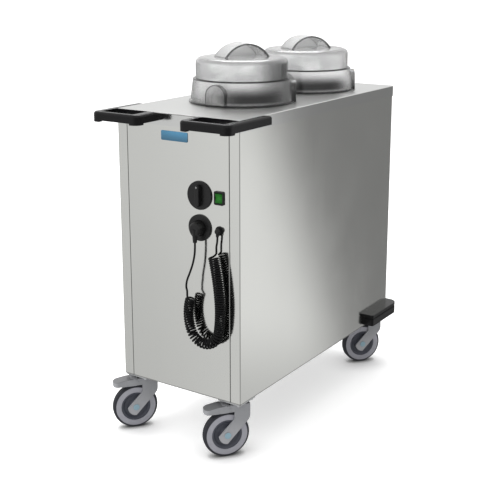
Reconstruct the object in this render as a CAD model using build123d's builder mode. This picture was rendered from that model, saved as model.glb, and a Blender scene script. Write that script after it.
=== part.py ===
from build123d import *
import os
from math import ceil, cos, dist, pi, radians, sin, sqrt, tan

os.makedirs("parts", exist_ok=True)

# Cabinet: X is the width, Y the length with the front at minus Y, Z is up from the floor (all in mm)
cabinet_length = 850.0
cabinet_width = 390.0
working_height = 900.0
sheet = 1.5  # gauge of the steel sheet
rim_depth = 32.0  # down-turned edge of the top plate
rim_bend = 3.0
corner_return = 31.0  # how far a side panel wraps round a corner
panel_bend = 3.5  # outer radius of the side panels' corners
panel_lip = 14.0  # inward fold of the upright panel edges
panel_seam = 1.2  # gap between the end panels and the side panels
pan_floor = 2.0
pan_upstand = 30.0

# Wells: two plate stacks on the centre line, behind the control compartment
front_well_share = 0.351  # centre of the front well from the front end, over the length
rear_well_share = 0.245  # the same from the rear end
well_radius = 131.0
opening_lip = 8.0
guide_count = 3
guide_angle = -85.0
guide_width = 36.0
guide_depth = 10.0
guide_wall = 2.0
guide_stand = 40.0  # rise of the guides above the top plate
guide_offset = 1.0  # from the edge of the well to the guide's inner face
guide_clearance = 0.6
platform_clearance = 7.0  # between the platform and the edge of the well
platform_drop = 60.0  # platform surface below the top plate
platform_sheet = 3.0
platform_lip = 10.0
platform_hole = 14.0
carriage_drop = 88.0  # carriage plate below the platform surface
carriage_sheet = 4.0
carriage_hub = 58.0
carriage_arm = 26.0
carriage_clearance = 0.3
column_radius = 17.0
spring_radius = 7.0
spring_arm = 20.0
lug_height = 20.0
lug_sheet = 3.0
heater_radius = 92.0
heater_tube = 4.25
heater_stub = 5.0  # upright ends of the loop
heater_height = 24.0  # heater loop above the pan floor
heater_gap_angle = 40.0

# Hoods: clear domes that stand on the top plate over the wells
hood_wall = 2.5
hood_seat = 0.3
hood_margin = 11.0  # foot of the skirt outside the well
hood_flange = 4.0
hood_flange_lip = 4.0
skirt_taper = 8.0
hood_step_height = 64.0
hood_step = 7.5
hood_top_height = 121.0
hood_shoulder = 16.0
arch_width = 60.0
arch_height = 58.0
arch_proud = 5.0
arch_depth = 20.0
hood_handle_angle = 60.0
hood_handle_span = 135.0
hood_handle_width = 68.0
hood_handle_rise = 37.0
hood_handle_wall = 4.5

# Push handles on the front top corners
handle_height = 22.5
handle_reach = 76.0  # in front of the cabinet
handle_proud = 20.0  # beside the cabinet
handle_span = 132.0  # along the front, from the side
handle_side_arm = 112.0  # along the cabinet side
handle_bar = 12.0
handle_arm = 22.0
handle_web = 3.0
handle_corner = 18.0
hole_corner = 6.0
handle_edge = 7.0
foot_drop = 4.0  # corner blocks hang this much lower
foot_size = 26.0

# Bumpers on the lower rear corners
bumper_height = 35.0
bumper_side_arm = 147.0
bumper_rear_arm = 120.0
bumper_proud = 27.0
bumper_rear_proud = 30.0
bumper_corner = 26.0
bumper_nose = 9.0  # rounding of its two free ends
groove_width = 5.0
groove_depth = 2.5
groove_drop = 9.0  # groove below the top edge

# Controls on the front panel: two columns and two rows
outer_column_inset = 63.0  # from the cabinet's side
column_spacing = 60.0
upper_row = 200.0  # below the top plate
lower_row = 284.0
knob_radius = 37.5
knob_skirt = 4.0
knob_grip = 16.0
knob_grip_length = 57.0
knob_grip_height = 12.0
knob_gap = 0.5
knob_shaft = 3.0
knob_draft = 10.0
grip_draft = 6.0
shaft_clearance = 0.05
shaft_hole_clearance = 1.0
thermostat_width = 46.0
thermostat_depth = 36.0
shaft_bore_depth = 14.0
bezel_width = 29.0
bezel_height = 35.0
bezel_thickness = 4.0
switch_width = 26.0
switch_height = 31.0
switch_depth = 26.0
switch_wall = 2.0
rocker_clearance = 0.4
rocker_pin = 1.5
rocker_pivot_depth = 5.0
rocker_dip = 6.5
rocker_rise = 10.0
rocker_back = 5.0
rocker_swing = 8.0  # degrees to either side
socket_radius = 34.5
socket_flange = 5.0
socket_body = 26.0
socket_depth = 34.0
socket_recess = 21.0
recess_depth = 4.0
cutout_clearance = 0.4
plug_clearance = 0.4
plug_height = 28.0
plug_edge = 8.0
plug_draft = 8.0
boot_top = 8.0
boot_tip = 5.2
boot_reach = 34.0
boot_standoff = 23.5
gland_radius = 12.0
gland_base = 2.0
gland_dome = 7.5
gland_height = 14.5
gland_edge = 4.0
gland_standoff = 10.0  # the cord leaves the gland downwards, this far from the panel
gland_spout = 3.9
gland_reach = 13.0
gland_thread = 8.0
gland_depth = 12.0

# Curly cord: a hanging loop of tight turns between two straight leads
wire = 5.2
turn_gap = 0.65
coil_diameter = 27.0
coil_standoff = 21.5
coil_heading = 14.0  # way that the axis sets off, from straight down towards plus X
coil_shift = -5.0  # start of the axis from the gland, along the panel
coil_drop = 65.0
coil_arcs = ((113.0, 695.0), (87.0, 353.0), (118.0, 45.0), (81.0, 127.0))  # lengths and radii
coil_run_in = 60.0  # part of a turn, in degrees, that each end takes to run into the coil
coil_tail = 12.0
tail_shift = 2.0
lead_run = 8.0  # straight of each lead next to the coil

# Casters
caster_inset_x = 40.0
caster_inset_y = 40.5
caster_heading = 231.5  # way that the wheels trail, from plus X
caster_trail = 30.0
wheel_radius = 62.5
caster_rise = 35.0  # from the top of the wheels to the cabinet
wheel_width = 24.0
rim_radius = 41.0
rim_width = 22.0
rim_thickness = 5.0
hub_radius = 14.0
hub_proud = 1.5
web_thickness = 12.0
tread_round = 7.3
axle_radius = 5.0
axle_head = 9.0
axle_head_height = 1.5
run_clearance = 0.3
plate_size = 74.0
plate_thickness = 4.0
bolt_spacing = 54.0
bolt_radius = 4.0
bolt_head = 6.5
bolt_head_height = 5.5
bolt_clearance = 0.3
race_radius = 21.0
race_height = 10.0
pin_radius = 6.0
pin_cap = 10.0
pin_cap_height = 2.0
crown_radius = 18.0
crown_clearance = 5.0  # between the tyre and the crown
leg_thickness = 4.5
leg_width = 32.0
leg_end = 23.5  # round end of the leg, about the axle
leg_heel = 32.0  # upright rear edge of the fork behind the swivel
leg_instep = 19.0  # upright front edge of the fork behind the axle
leg_lean = 43.0  # of the leg, from upright
heel_round = 26.0
ear_radius = 9.5
pedal_pin = 3.0
pedal_heel = 7.5
pedal_arm = 7.5  # half height of the arm between the fork's ears
pad_gap = 3.0  # between the ears and the pad
pedal_reach = 60.0  # tip of the pad past the pivot
pad_under = 11.5  # pivot to the underside of the pad
pad_brow = 22.0  # flat top of the pad, past the pivot
pad_tip = 12.5
pad_corner = 14.0

# Values that follow from the driving sizes
ground_clearance = 2 * wheel_radius + caster_rise
half_width = cabinet_width / 2
half_length = cabinet_length / 2
body_x = half_width - sheet
body_y = half_length - sheet
panel_top = working_height - sheet
pan_top = ground_clearance + pan_floor
well_places = {
    "front": -half_length + front_well_share * cabinet_length,
    "rear": half_length - rear_well_share * cabinet_length,
}
outer_column = half_width - outer_column_inset
inner_column = outer_column - column_spacing
guide_inner = well_radius + guide_offset
guide_angles = [guide_angle + 360 / guide_count * step for step in range(guide_count)]
spring_angles = [angle + 180 / guide_count for angle in guide_angles]
spring_place = guide_inner + spring_radius + guide_offset
platform_z = working_height - platform_drop
platform_radius = well_radius - platform_clearance
hood_skirt_low = well_radius + hood_margin
hood_skirt_high = hood_skirt_low - skirt_taper
hood_upper_radius = hood_skirt_high - hood_step
hood_flange_radius = hood_skirt_low + hood_flange_lip
plug_radius = socket_recess - plug_clearance
handle_inner_x = half_width - handle_span
carriage_z = platform_z - carriage_drop
upper_z = working_height - upper_row
lower_z = working_height - lower_row
front_face = Plane(origin=(0, -body_y, 0), x_dir=(1, 0, 0), z_dir=(0, -1, 0))


def keep(builder, name):
    builder.part.label = name
    export_step(builder.part, f"parts/{name}.step")


def radial_plane(centre_y, angle, radius):
    outward = Vector(cos(radians(angle)), sin(radians(angle)), 0)
    origin = Vector(0, centre_y, 0) + outward * radius
    return Plane(origin=origin, x_dir=(-outward.Y, outward.X, 0), z_dir=outward)


def arch(width, low, high):
    crown = high - width / 2
    with Locations((0, (low + crown) / 2)):
        Rectangle(width, crown - low)
    with Locations((0, crown)):
        Circle(width / 2)
    with Locations((0, low - width / 2)):
        Rectangle(width, width, mode=Mode.SUBTRACT)


# Top plate: lipped openings for the plates and their guides, and lugs that carry the springs
def well_outline(centre_y, grow):
    with Locations((0, centre_y)):
        Circle(well_radius + grow)
    for angle in guide_angles:
        outer = guide_inner + guide_depth + guide_clearance + grow
        wide = guide_width + 2 * (guide_clearance + grow)
        with Locations(Location((0, centre_y, 0), (0, 0, angle))):
            with Locations((outer / 2, 0)):
                Rectangle(outer, wide)


with BuildPart() as top_plate:
    with BuildSketch(Plane.XY.offset(working_height)):
        Rectangle(cabinet_width, cabinet_length)
    extrude(amount=-rim_depth)
    fillet(top_plate.edges().filter_by(Axis.Z), rim_bend)
    fillet(top_plate.faces().sort_by(Axis.Z)[-1].edges(), rim_bend - sheet / 2)
    with BuildSketch(Plane.XY.offset(panel_top)):
        Rectangle(2 * body_x, 2 * body_y)
    extrude(amount=-rim_depth, mode=Mode.SUBTRACT)
    with BuildSketch(Plane.XY.offset(panel_top)):
        for place in well_places.values():
            well_outline(place, sheet)
    extrude(amount=-opening_lip)
    with BuildSketch(Plane.XY.offset(working_height)):
        for place in well_places.values():
            well_outline(place, 0)
    extrude(amount=-sheet - opening_lip, mode=Mode.SUBTRACT)
    for place in well_places.values():
        for angle in spring_angles:
            with BuildSketch(radial_plane(place, angle, spring_place).offset(-lug_sheet / 2)):
                with Locations((0, panel_top - lug_height / 2)):
                    Rectangle(2 * spring_radius, lug_height)
            extrude(amount=lug_sheet)
keep(top_plate, "top_plate")


# Side panels: one folded sheet each, wrapped round both corners
for name, side in {"side_panel_left": -1, "side_panel_right": 1}.items():
    with BuildPart() as side_panel:
        with BuildSketch(Plane.XY.offset(ground_clearance)):
            with Locations((side * (body_x - sheet / 2), 0)):
                Rectangle(sheet, 2 * body_y)
            for end in (-1, 1):
                with Locations((side * (body_x - corner_return / 2), end * (body_y - sheet / 2))):
                    Rectangle(corner_return, sheet)
                lip_x = body_x - corner_return + sheet / 2
                with Locations((side * lip_x, end * (body_y - panel_lip / 2))):
                    Rectangle(sheet, panel_lip)
        extrude(amount=panel_top - ground_clearance)
        upright_edges = side_panel.edges().filter_by(Axis.Z)
        uprights = upright_edges.group_by(lambda edge: round(side * edge.center().X, 3))
        fillet(uprights[-1], panel_bend)
        fillet(uprights[-2].sort_by(lambda edge: abs(edge.center().Y))[-2:], panel_bend - sheet)
        fillet(uprights[0].sort_by(lambda edge: abs(edge.center().Y))[-2:], sheet)
    keep(side_panel, name)


# Front and rear panels: a flat face with its upright edges folded in, the front one cut for the controls
for name, end in {"front_panel": -1, "rear_panel": 1}.items():
    wide = 2 * (body_x - corner_return - panel_seam)
    with BuildPart() as end_panel:
        with BuildSketch(Plane.XY.offset(ground_clearance)):
            with Locations((0, end * (body_y - sheet / 2))):
                Rectangle(wide, sheet)
            for side in (-1, 1):
                with Locations((side * (wide - sheet) / 2, end * (body_y - panel_lip / 2))):
                    Rectangle(sheet, panel_lip)
        extrude(amount=panel_top - ground_clearance)
        fillet(end_panel.edges().filter_by(Axis.Z).group_by(lambda edge: abs(edge.center().X))[-1]
               .sort_by(lambda edge: abs(edge.center().Y))[-2:], sheet)
        if name == "front_panel":
            with BuildSketch(front_face):
                with Locations((inner_column, upper_z)):
                    Circle(knob_shaft + shaft_hole_clearance)
                with Locations((outer_column, upper_z)):
                    Rectangle(switch_width + 2 * cutout_clearance, switch_height + 2 * cutout_clearance)
                with Locations((inner_column, lower_z)):
                    Circle(socket_body + cutout_clearance)
                with Locations((outer_column, lower_z)):
                    Circle(gland_thread + cutout_clearance)
            extrude(amount=-sheet, mode=Mode.SUBTRACT)
    keep(end_panel, name)


# Base pan: the tray that closes the cabinet and carries the casters, guides and heaters
caster_places = {
    "front_left": (-half_width + caster_inset_x, -half_length + caster_inset_y),
    "front_right": (half_width - caster_inset_x, -half_length + caster_inset_y),
    "rear_left": (-half_width + caster_inset_x, half_length - caster_inset_y),
    "rear_right": (half_width - caster_inset_x, half_length - caster_inset_y),
}
bolt_places = [
    (x + across * bolt_spacing / 2, y + along * bolt_spacing / 2)
    for x, y in caster_places.values()
    for across in (-1, 1)
    for along in (-1, 1)
]
with BuildPart() as base_pan:
    with BuildSketch(Plane.XY.offset(ground_clearance)):
        RectangleRounded(2 * (body_x - sheet), 2 * (body_y - sheet), panel_bend)
    extrude(amount=pan_upstand)
    with BuildSketch(Plane.XY.offset(pan_top)):
        Rectangle(2 * (body_x - 2 * sheet), 2 * (body_y - 2 * sheet))
    extrude(amount=pan_upstand, mode=Mode.SUBTRACT)
    # the upstand is notched where the folded panel edges stand on the floor inside it
    with BuildSketch(Plane.XY.offset(ground_clearance)):
        for x in (-1, 1):
            for y in (-1, 1):
                with Locations((x * (body_x - corner_return), y * (body_y - panel_lip / 2))):
                    Rectangle(2 * (sheet + 2 * panel_seam), panel_lip + 2 * panel_seam)
    extrude(amount=pan_upstand, mode=Mode.SUBTRACT)
    with BuildSketch(Plane.XY.offset(ground_clearance)):
        with Locations(*bolt_places):
            Circle(bolt_radius + bolt_clearance)
    extrude(amount=pan_floor, mode=Mode.SUBTRACT)
keep(base_pan, "base_pan")

with BuildPart() as caster_bolts:
    plate_low = ground_clearance - plate_thickness
    with BuildSketch(Plane.XY.offset(plate_low)):
        with Locations(*bolt_places):
            RegularPolygon(bolt_head, 6)
    extrude(amount=-bolt_head_height)
    with BuildSketch(Plane.XY.offset(plate_low)):
        with Locations(*bolt_places):
            Circle(bolt_radius)
    extrude(amount=plate_thickness + pan_floor)
    with BuildSketch(Plane.XY.offset(pan_top)):
        with Locations(*bolt_places):
            RegularPolygon(bolt_head, 6)
    extrude(amount=bolt_head_height)
keep(caster_bolts, "caster_bolts")


# Plate guides: three channels per well, closed over the top, open at the back
def make_guides(name, place):
    with BuildPart() as guides:
        for angle in guide_angles:
            inner_face = radial_plane(place, angle, guide_inner)
            with BuildSketch(inner_face):
                arch(guide_width, pan_top, working_height + guide_stand)
            extrude(amount=guide_depth)
            with BuildSketch(inner_face.offset(guide_wall)):
                arch(guide_width - 2 * guide_wall, pan_top, working_height + guide_stand - guide_wall)
            extrude(amount=guide_depth - guide_wall, mode=Mode.SUBTRACT)
    keep(guides, name)


# Platform: a dished disc with a turned-down edge and vent holes
def make_platform(name, place):
    with BuildPart() as platform:
        with BuildSketch(Plane((0, place, platform_z))):
            Circle(platform_radius)
        extrude(amount=-platform_lip)
        with BuildSketch(Plane((0, place, platform_z - platform_sheet))):
            Circle(platform_radius - platform_sheet)
        extrude(amount=-platform_lip, mode=Mode.SUBTRACT)
        with BuildSketch(Plane((0, place, platform_z))):
            with PolarLocations((platform_radius + column_radius) / 2, 2 * guide_count):
                Circle(platform_hole)
        extrude(amount=-platform_sheet, mode=Mode.SUBTRACT)
        fillet(platform.faces().sort_by(Axis.Z)[-1].outer_wire().edges(), platform_sheet / 2)
    keep(platform, name)


# Carriage: a column on a six-armed plate, three arms run on the guides and three take the springs
def make_carriage(name, place):
    with BuildPart() as carriage:
        with BuildSketch(Plane((0, place, carriage_z))):
            Circle(carriage_hub)
            for angle in guide_angles:
                with Locations(Location((0, 0, 0), (0, 0, angle))):
                    reach = guide_inner - carriage_clearance
                    with Locations((reach / 2, 0)):
                        Rectangle(reach, carriage_arm)
            for angle in spring_angles:
                with Locations(Location((0, 0, 0), (0, 0, angle))):
                    reach = spring_place + spring_radius
                    with Locations((reach / 2, 0)):
                        Rectangle(reach, spring_arm)
        extrude(amount=-carriage_sheet)
        with BuildSketch(Plane((0, place, carriage_z))):
            Circle(column_radius)
        extrude(amount=carriage_drop - platform_sheet)
    keep(carriage, name)


# Extension springs: close-wound, seen from nowhere, hung between the lugs and the carriage arms
def make_springs(name, place):
    with BuildPart() as springs:
        with BuildSketch(Plane((0, place, carriage_z))):
            with PolarLocations(spring_place, guide_count, start_angle=spring_angles[0]):
                Circle(spring_radius)
        extrude(amount=panel_top - lug_height - carriage_z)
    keep(springs, name)


# Heater: a tubular loop on two stout upright ends
def make_heater(name, place):
    loop_z = pan_top + heater_height
    start = heater_gap_angle / 2
    with BuildPart() as heater:
        with BuildSketch(Plane(origin=(0, place, loop_z), x_dir=(cos(radians(start)), sin(radians(start)), 0),
                               z_dir=(sin(radians(start)), -cos(radians(start)), 0))):
            with Locations((heater_radius, 0)):
                Circle(heater_tube)
        revolve(axis=Axis((0, place, 0), (0, 0, 1)), revolution_arc=360 - heater_gap_angle)
        for angle in (start, -start):
            foot = (heater_radius * cos(radians(angle)), place + heater_radius * sin(radians(angle)), pan_top)
            with BuildSketch(Plane(foot)):
                Circle(heater_stub)
            extrude(amount=heater_height + heater_stub)
    keep(heater, name)


# Hood: turned dome with three arched pockets over the guides
def make_hood(name, place):
    seat = working_height + hood_seat
    spin = Axis((0, place, seat), (0, 0, 1))
    section = Plane(origin=(0, place, seat), x_dir=(1, 0, 0), z_dir=(0, -1, 0))
    arch_low = hood_skirt_low + arch_proud - arch_depth
    flat_radius = hood_upper_radius - hood_shoulder
    with BuildPart() as hood:
        with BuildSketch(Plane((0, place, seat))):
            Circle(hood_flange_radius)
        extrude(amount=hood_flange)
        for inset, mode in ((0, Mode.ADD), (hood_wall, Mode.SUBTRACT)):
            with BuildSketch(section):
                with BuildLine():
                    Polyline(
                        (0, 0),
                        (hood_skirt_low - inset, 0),
                        (hood_skirt_high - inset, hood_step_height - inset),
                        (hood_upper_radius - inset, hood_step_height - inset),
                        (hood_upper_radius - inset, hood_top_height - hood_shoulder),
                    )
                    CenterArc((flat_radius, hood_top_height - hood_shoulder), hood_shoulder - inset, 0, 90)
                    Polyline((flat_radius, hood_top_height - inset), (0, hood_top_height - inset), (0, 0))
                make_face()
            revolve(axis=spin, mode=mode)
            for angle in guide_angles:
                with BuildSketch(radial_plane(place, angle, arch_low)):
                    arch(arch_width - 2 * inset, seat, seat + arch_height - inset)
                extrude(amount=arch_depth - inset, mode=mode)
    keep(hood, name)


# Hood handle: a wide strap bent to an arch, its ends flat on top of the hood
def make_hood_handle(name, place):
    strap = Plane(
        origin=(0, place, working_height + hood_seat + hood_top_height),
        x_dir=(cos(radians(hood_handle_angle)), sin(radians(hood_handle_angle)), 0),
        z_dir=(sin(radians(hood_handle_angle)), -cos(radians(hood_handle_angle)), 0),
    )
    half = hood_handle_span / 2
    inner = half - hood_handle_wall * half / hood_handle_rise
    with BuildPart() as hood_handle:
        with BuildSketch(strap):
            with BuildLine():
                ThreePointArc((-half, 0), (0, hood_handle_rise), (half, 0))
                Line((half, 0), (inner, 0))
                ThreePointArc((inner, 0), (0, hood_handle_rise - hood_handle_wall), (-inner, 0))
                Line((-inner, 0), (-half, 0))
            make_face()
        extrude(amount=hood_handle_width / 2, both=True)
    keep(hood_handle, name)


for where, place in well_places.items():
    make_guides(f"guides_{where}", place)
    make_platform(f"platform_{where}", place)
    make_carriage(f"carriage_{where}", place)
    make_springs(f"springs_{where}", place)
    make_heater(f"heater_{where}", place)
    make_hood(f"hood_{where}", place)
    make_hood_handle(f"hood_handle_{where}", place)


# Push handles: a moulded loop round each front top corner, its free top edges rounded over
def is_free(edge):
    return abs(edge.center().X) > half_width + rim_bend or edge.center().Y < -half_length - rim_bend


for name, side in {"handle_left": -1, "handle_right": 1}.items():
    outer_x = half_width + handle_proud
    front_y = -half_length - handle_reach
    with BuildPart() as handle:
        with BuildSketch(Plane.XY.offset(working_height)) as outline:
            with BuildLine():
                Polyline(
                    (side * handle_inner_x, -half_length),
                    (side * handle_inner_x, front_y),
                    (side * outer_x, front_y),
                    (side * outer_x, -half_length + handle_side_arm),
                    (side * half_width, -half_length + handle_side_arm),
                    (side * half_width, -half_length),
                    close=True,
                )
            make_face()
            fillet(outline.vertices().group_by(Axis.Y)[0], handle_corner)
        extrude(amount=-handle_height)
        with BuildSketch(Plane.XY.offset(working_height - handle_height)) as feet:
            for x in (handle_inner_x + foot_size / 2, outer_x - foot_size / 2):
                with Locations((side * x, front_y + foot_size / 2)):
                    Rectangle(foot_size, foot_size)
            front_spots = feet.vertices().group_by(Axis.Y)[0].sort_by(Axis.X)
            fillet([front_spots[0], front_spots[-1]], handle_corner)
        extrude(amount=-foot_drop)
        hole_left = handle_inner_x + handle_arm
        hole_right = outer_x - handle_arm
        hole_low = front_y + handle_bar
        hole_high = -half_length - handle_web
        with BuildSketch(Plane.XY.offset(working_height)):
            with Locations((side * (hole_left + hole_right) / 2, (hole_low + hole_high) / 2)):
                RectangleRounded(hole_right - hole_left, hole_high - hole_low, hole_corner)
        extrude(amount=-handle_height - foot_drop, mode=Mode.SUBTRACT)
        fillet(handle.faces().sort_by(Axis.Z)[-1].outer_wire().edges().filter_by(is_free), handle_edge)
    keep(handle, name)


# Bumpers: grooved blocks that wrap the lower rear corners
bumper_layers = (
    (0, bumper_height - groove_drop - groove_width),
    (groove_depth, groove_width),
    (0, groove_drop),
)
bumper_rounds = ((1, 1, bumper_corner), (1, -1, bumper_nose), (-1, 1, bumper_nose))
for name, side in {"bumper_left": -1, "bumper_right": 1}.items():
    with BuildPart() as bumper:
        level = ground_clearance
        for inset, thick in bumper_layers:
            tip_y = body_y - bumper_side_arm + inset
            outer_x = body_x + bumper_proud - inset
            rear_y = body_y + bumper_rear_proud - inset
            end_x = body_x - bumper_rear_arm + inset
            with BuildSketch(Plane.XY.offset(level)) as outline:
                with BuildLine():
                    Polyline(
                        (side * body_x, tip_y),
                        (side * outer_x, tip_y),
                        (side * outer_x, rear_y),
                        (side * end_x, rear_y),
                        (side * end_x, body_y),
                        (side * body_x, body_y),
                        close=True,
                    )
                make_face()
                for outward, rearward, radius in bumper_rounds:
                    way = Vector(side * outward, rearward)
                    corners = outline.vertices().sort_by(lambda spot: way.dot(Vector(spot)))
                    fillet(corners[-1], radius - inset)
            extrude(amount=thick)
            level += thick
    keep(bumper, name)


# Thermostat body and its knob
with BuildPart() as thermostat:
    with BuildSketch(front_face.offset(-sheet)):
        with Locations((inner_column, upper_z)):
            Rectangle(thermostat_width, thermostat_width)
    extrude(amount=-thermostat_depth)
    with BuildSketch(front_face.offset(-sheet)):
        with Locations((inner_column, upper_z)):
            Circle(knob_shaft + shaft_clearance)
    extrude(amount=-shaft_bore_depth, mode=Mode.SUBTRACT)
keep(thermostat, "thermostat")

with BuildPart() as knob:
    with BuildSketch(front_face.offset(knob_gap)):
        with Locations((inner_column, upper_z)):
            Circle(knob_radius)
    extrude(amount=knob_skirt, taper=knob_draft)
    fillet(knob.faces().sort_by(Axis.Y)[0].edges(), knob_skirt / 4)
    with BuildSketch(front_face.offset(knob_gap + knob_skirt)):
        with Locations((inner_column, upper_z)):
            SlotOverall(knob_grip_length, knob_grip, rotation=90)
    extrude(amount=knob_grip_height, taper=grip_draft)
    fillet(knob.faces().sort_by(Axis.Y)[0].edges(), knob_grip / 8)
    with BuildSketch(front_face.offset(knob_gap)):
        with Locations((inner_column, upper_z)):
            Circle(knob_shaft)
    extrude(amount=-knob_gap - sheet - shaft_bore_depth + shaft_clearance)
keep(knob, "knob")


# Rocker switch: a hollow housing snapped into the panel and a rocker on two pins
rocker_width = switch_width - 2 * (switch_wall + rocker_clearance)
rocker_room = switch_height / 2 - switch_wall - rocker_clearance
rocker_half = (rocker_room - rocker_rise * sin(radians(rocker_swing))) / cos(radians(rocker_swing))
pivot_y = -body_y + rocker_pivot_depth
with BuildPart() as switch_housing:
    with BuildSketch(front_face):
        with Locations((outer_column, upper_z)):
            RectangleRounded(bezel_width, bezel_height, bezel_thickness)
    extrude(amount=bezel_thickness)
    with BuildSketch(front_face):
        with Locations((outer_column, upper_z)):
            Rectangle(switch_width, switch_height)
    extrude(amount=-switch_depth)
    with BuildSketch(front_face.offset(bezel_thickness)):
        with Locations((outer_column, upper_z)):
            Rectangle(switch_width - 2 * switch_wall, switch_height - 2 * switch_wall)
    extrude(amount=-bezel_thickness - switch_depth + switch_wall, mode=Mode.SUBTRACT)
    with BuildSketch(Plane(origin=(outer_column, pivot_y, upper_z), x_dir=(0, 1, 0), z_dir=(1, 0, 0))):
        Circle(rocker_pin + shaft_clearance)
    extrude(amount=switch_width / 2, both=True, mode=Mode.SUBTRACT)
keep(switch_housing, "switch_housing")

with BuildPart() as switch_rocker:
    rock_plane = Plane(origin=(outer_column, pivot_y, upper_z), x_dir=(0, -1, 0), z_dir=(-1, 0, 0))
    with BuildSketch(rock_plane):
        with BuildLine():
            Polyline(
                (-rocker_back, -rocker_half),
                (rocker_rise, -rocker_half),
                (rocker_dip, 0),
                (rocker_rise, rocker_half),
                (-rocker_back, rocker_half),
                close=True,
            )
        make_face()
    extrude(amount=rocker_width / 2, both=True)
    with BuildSketch(rock_plane):
        Circle(rocker_pin)
    extrude(amount=switch_width / 2, both=True)
keep(switch_rocker, "switch_rocker")


# Parking socket with the angled plug, and the cable gland
with BuildPart() as parking_socket:
    with BuildSketch(front_face):
        with Locations((inner_column, lower_z)):
            Circle(socket_radius)
    extrude(amount=socket_flange)
    fillet(parking_socket.faces().sort_by(Axis.Y)[0].edges(), socket_flange / 3)
    with BuildSketch(front_face):
        with Locations((inner_column, lower_z)):
            Circle(socket_body)
    extrude(amount=-socket_depth)
    with BuildSketch(front_face.offset(socket_flange)):
        with Locations((inner_column, lower_z)):
            Circle(socket_recess)
    extrude(amount=-recess_depth, mode=Mode.SUBTRACT)
keep(parking_socket, "parking_socket")

plug_base = socket_flange - recess_depth
boot_tip_z = lower_z - boot_reach
with BuildPart() as plug:
    with BuildSketch(front_face.offset(plug_base)):
        with Locations((inner_column, lower_z)):
            Circle(plug_radius)
    extrude(amount=plug_height, taper=plug_draft)
    fillet(plug.faces().sort_by(Axis.Y)[0].edges(), plug_edge)
    boot_y = -body_y - boot_standoff
    with BuildSketch(Plane((inner_column, boot_y, lower_z))):
        Circle(boot_top)
    with BuildSketch(Plane((inner_column, boot_y, boot_tip_z))):
        Circle(boot_tip)
    loft()
keep(plug, "plug")

with BuildPart() as cable_gland:
    for radius, low, high in ((gland_thread, -gland_depth, 0), (gland_radius, 0, gland_base),
                              (gland_dome, gland_base, gland_height)):
        with BuildSketch(front_face.offset(low)):
            with Locations((outer_column, lower_z)):
                Circle(radius)
        extrude(amount=high - low)
    fillet(cable_gland.faces().sort_by(Axis.Y)[0].edges(), gland_edge)
    with BuildSketch(Plane((outer_column, -body_y - gland_standoff, lower_z))):
        Circle(gland_spout)
    extrude(amount=-gland_reach)
keep(cable_gland, "cable_gland")


# Curly cord: the axis is a chain of arcs, its turns open up round the bends so that they never touch
helix_radius = (coil_diameter - wire) / 2
pitches = [(wire + turn_gap) / (1 - helix_radius / radius) for _, radius in coil_arcs]
turn_counts = [length / pitch for (length, _), pitch in zip(coil_arcs, pitches)]
coil_turns = ceil(sum(turn_counts)) + 1 / 2 - coil_run_in / 180
coil_steps = ceil(2 * coil_turns)


def at_front(x, z, out):
    return front_face.from_local_coords(Vector(x, z, out))


def coil_axis(turns):
    spot = Vector(outer_column + coil_shift, lower_z - coil_drop)
    heading = radians(coil_heading)
    for number, ((_, radius), pitch) in enumerate(zip(coil_arcs, pitches)):
        last = number == len(coil_arcs) - 1
        share = turns if last else min(turns, turn_counts[number])
        ahead = heading - share * pitch / radius
        spot += Vector(cos(ahead) - cos(heading), sin(ahead) - sin(heading)) * radius
        heading = ahead
        turns -= share
    return spot, Vector(cos(heading), sin(heading))


def on_coil(turns):
    centre, radial = coil_axis(turns)
    phase = radians(-90 - coil_run_in - 360 * turns)
    swing = radial * (helix_radius * cos(phase))
    return at_front(centre.X + swing.X, centre.Y + swing.Y, coil_standoff + helix_radius * sin(phase))


def coil_way(turns, step=0.001):
    return (on_coil(turns + step) - on_coil(turns - step)).normalized()


def biarc(start, start_way, end, end_way):
    chord = end - start
    ways = start_way + end_way
    spread = 2 * (1 - start_way.dot(end_way))
    reach = (sqrt(chord.dot(ways) ** 2 + spread * chord.dot(chord)) - chord.dot(ways)) / spread
    knee_in = start + start_way * reach
    knee_out = end - end_way * reach
    middle = (knee_in + knee_out) * 0.5
    first = TangentArc(start, middle, tangent=start_way)
    second = TangentArc(middle, end, tangent=knee_out - knee_in)
    return [first, second]


# Ends of the coil: both leads stand upright, behind the coil at the gland and in front of it at the plug
def tail(turns, out):
    centre, radial = coil_axis(turns)
    near = at_front(centre.X + radial.X * tail_shift, centre.Y + coil_tail, out)
    return near, near + Vector(0, 0, wire)


start_near, coil_start = tail(0, coil_standoff - helix_radius)
end_near, coil_end = tail(coil_turns, coil_standoff + helix_radius)
down = Vector(0, 0, -1)
with BuildPart() as cord_coil:
    with BuildLine() as coil_path:
        pieces = [Line(coil_start, start_near)]
        pieces += biarc(start_near, down, on_coil(0), coil_way(0))
        for step in range(coil_steps):
            one = coil_turns * step / coil_steps
            two = coil_turns * (step + 1) / coil_steps
            pieces += biarc(on_coil(one), coil_way(one), on_coil(two), coil_way(two))
        pieces += biarc(on_coil(coil_turns), coil_way(coil_turns), end_near, -down)
        pieces += [Line(end_near, coil_end)]
    with BuildSketch(Plane(origin=coil_start, z_dir=down)):
        Circle(wire / 2)
    sweep(path=coil_path.wire())
keep(cord_coil, "cord_coil")

# Least gap of the coil to itself, on points along the tube
spots = [tuple(edge.position_at(share / 6)) for edge in pieces for share in range(6)]
runs = [0.0]
for one, two in zip(spots, spots[1:]):
    runs.append(runs[-1] + dist(one, two))
least = min(
    dist(one, two)
    for first, one in enumerate(spots)
    for second, two in enumerate(spots[first + 1:], first + 1)
    if runs[second] - runs[first] > pi * wire
)
print("coil turns", round(coil_turns, 2), "least gap of the coil to itself", round(least - wire, 2), "mm")


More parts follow.
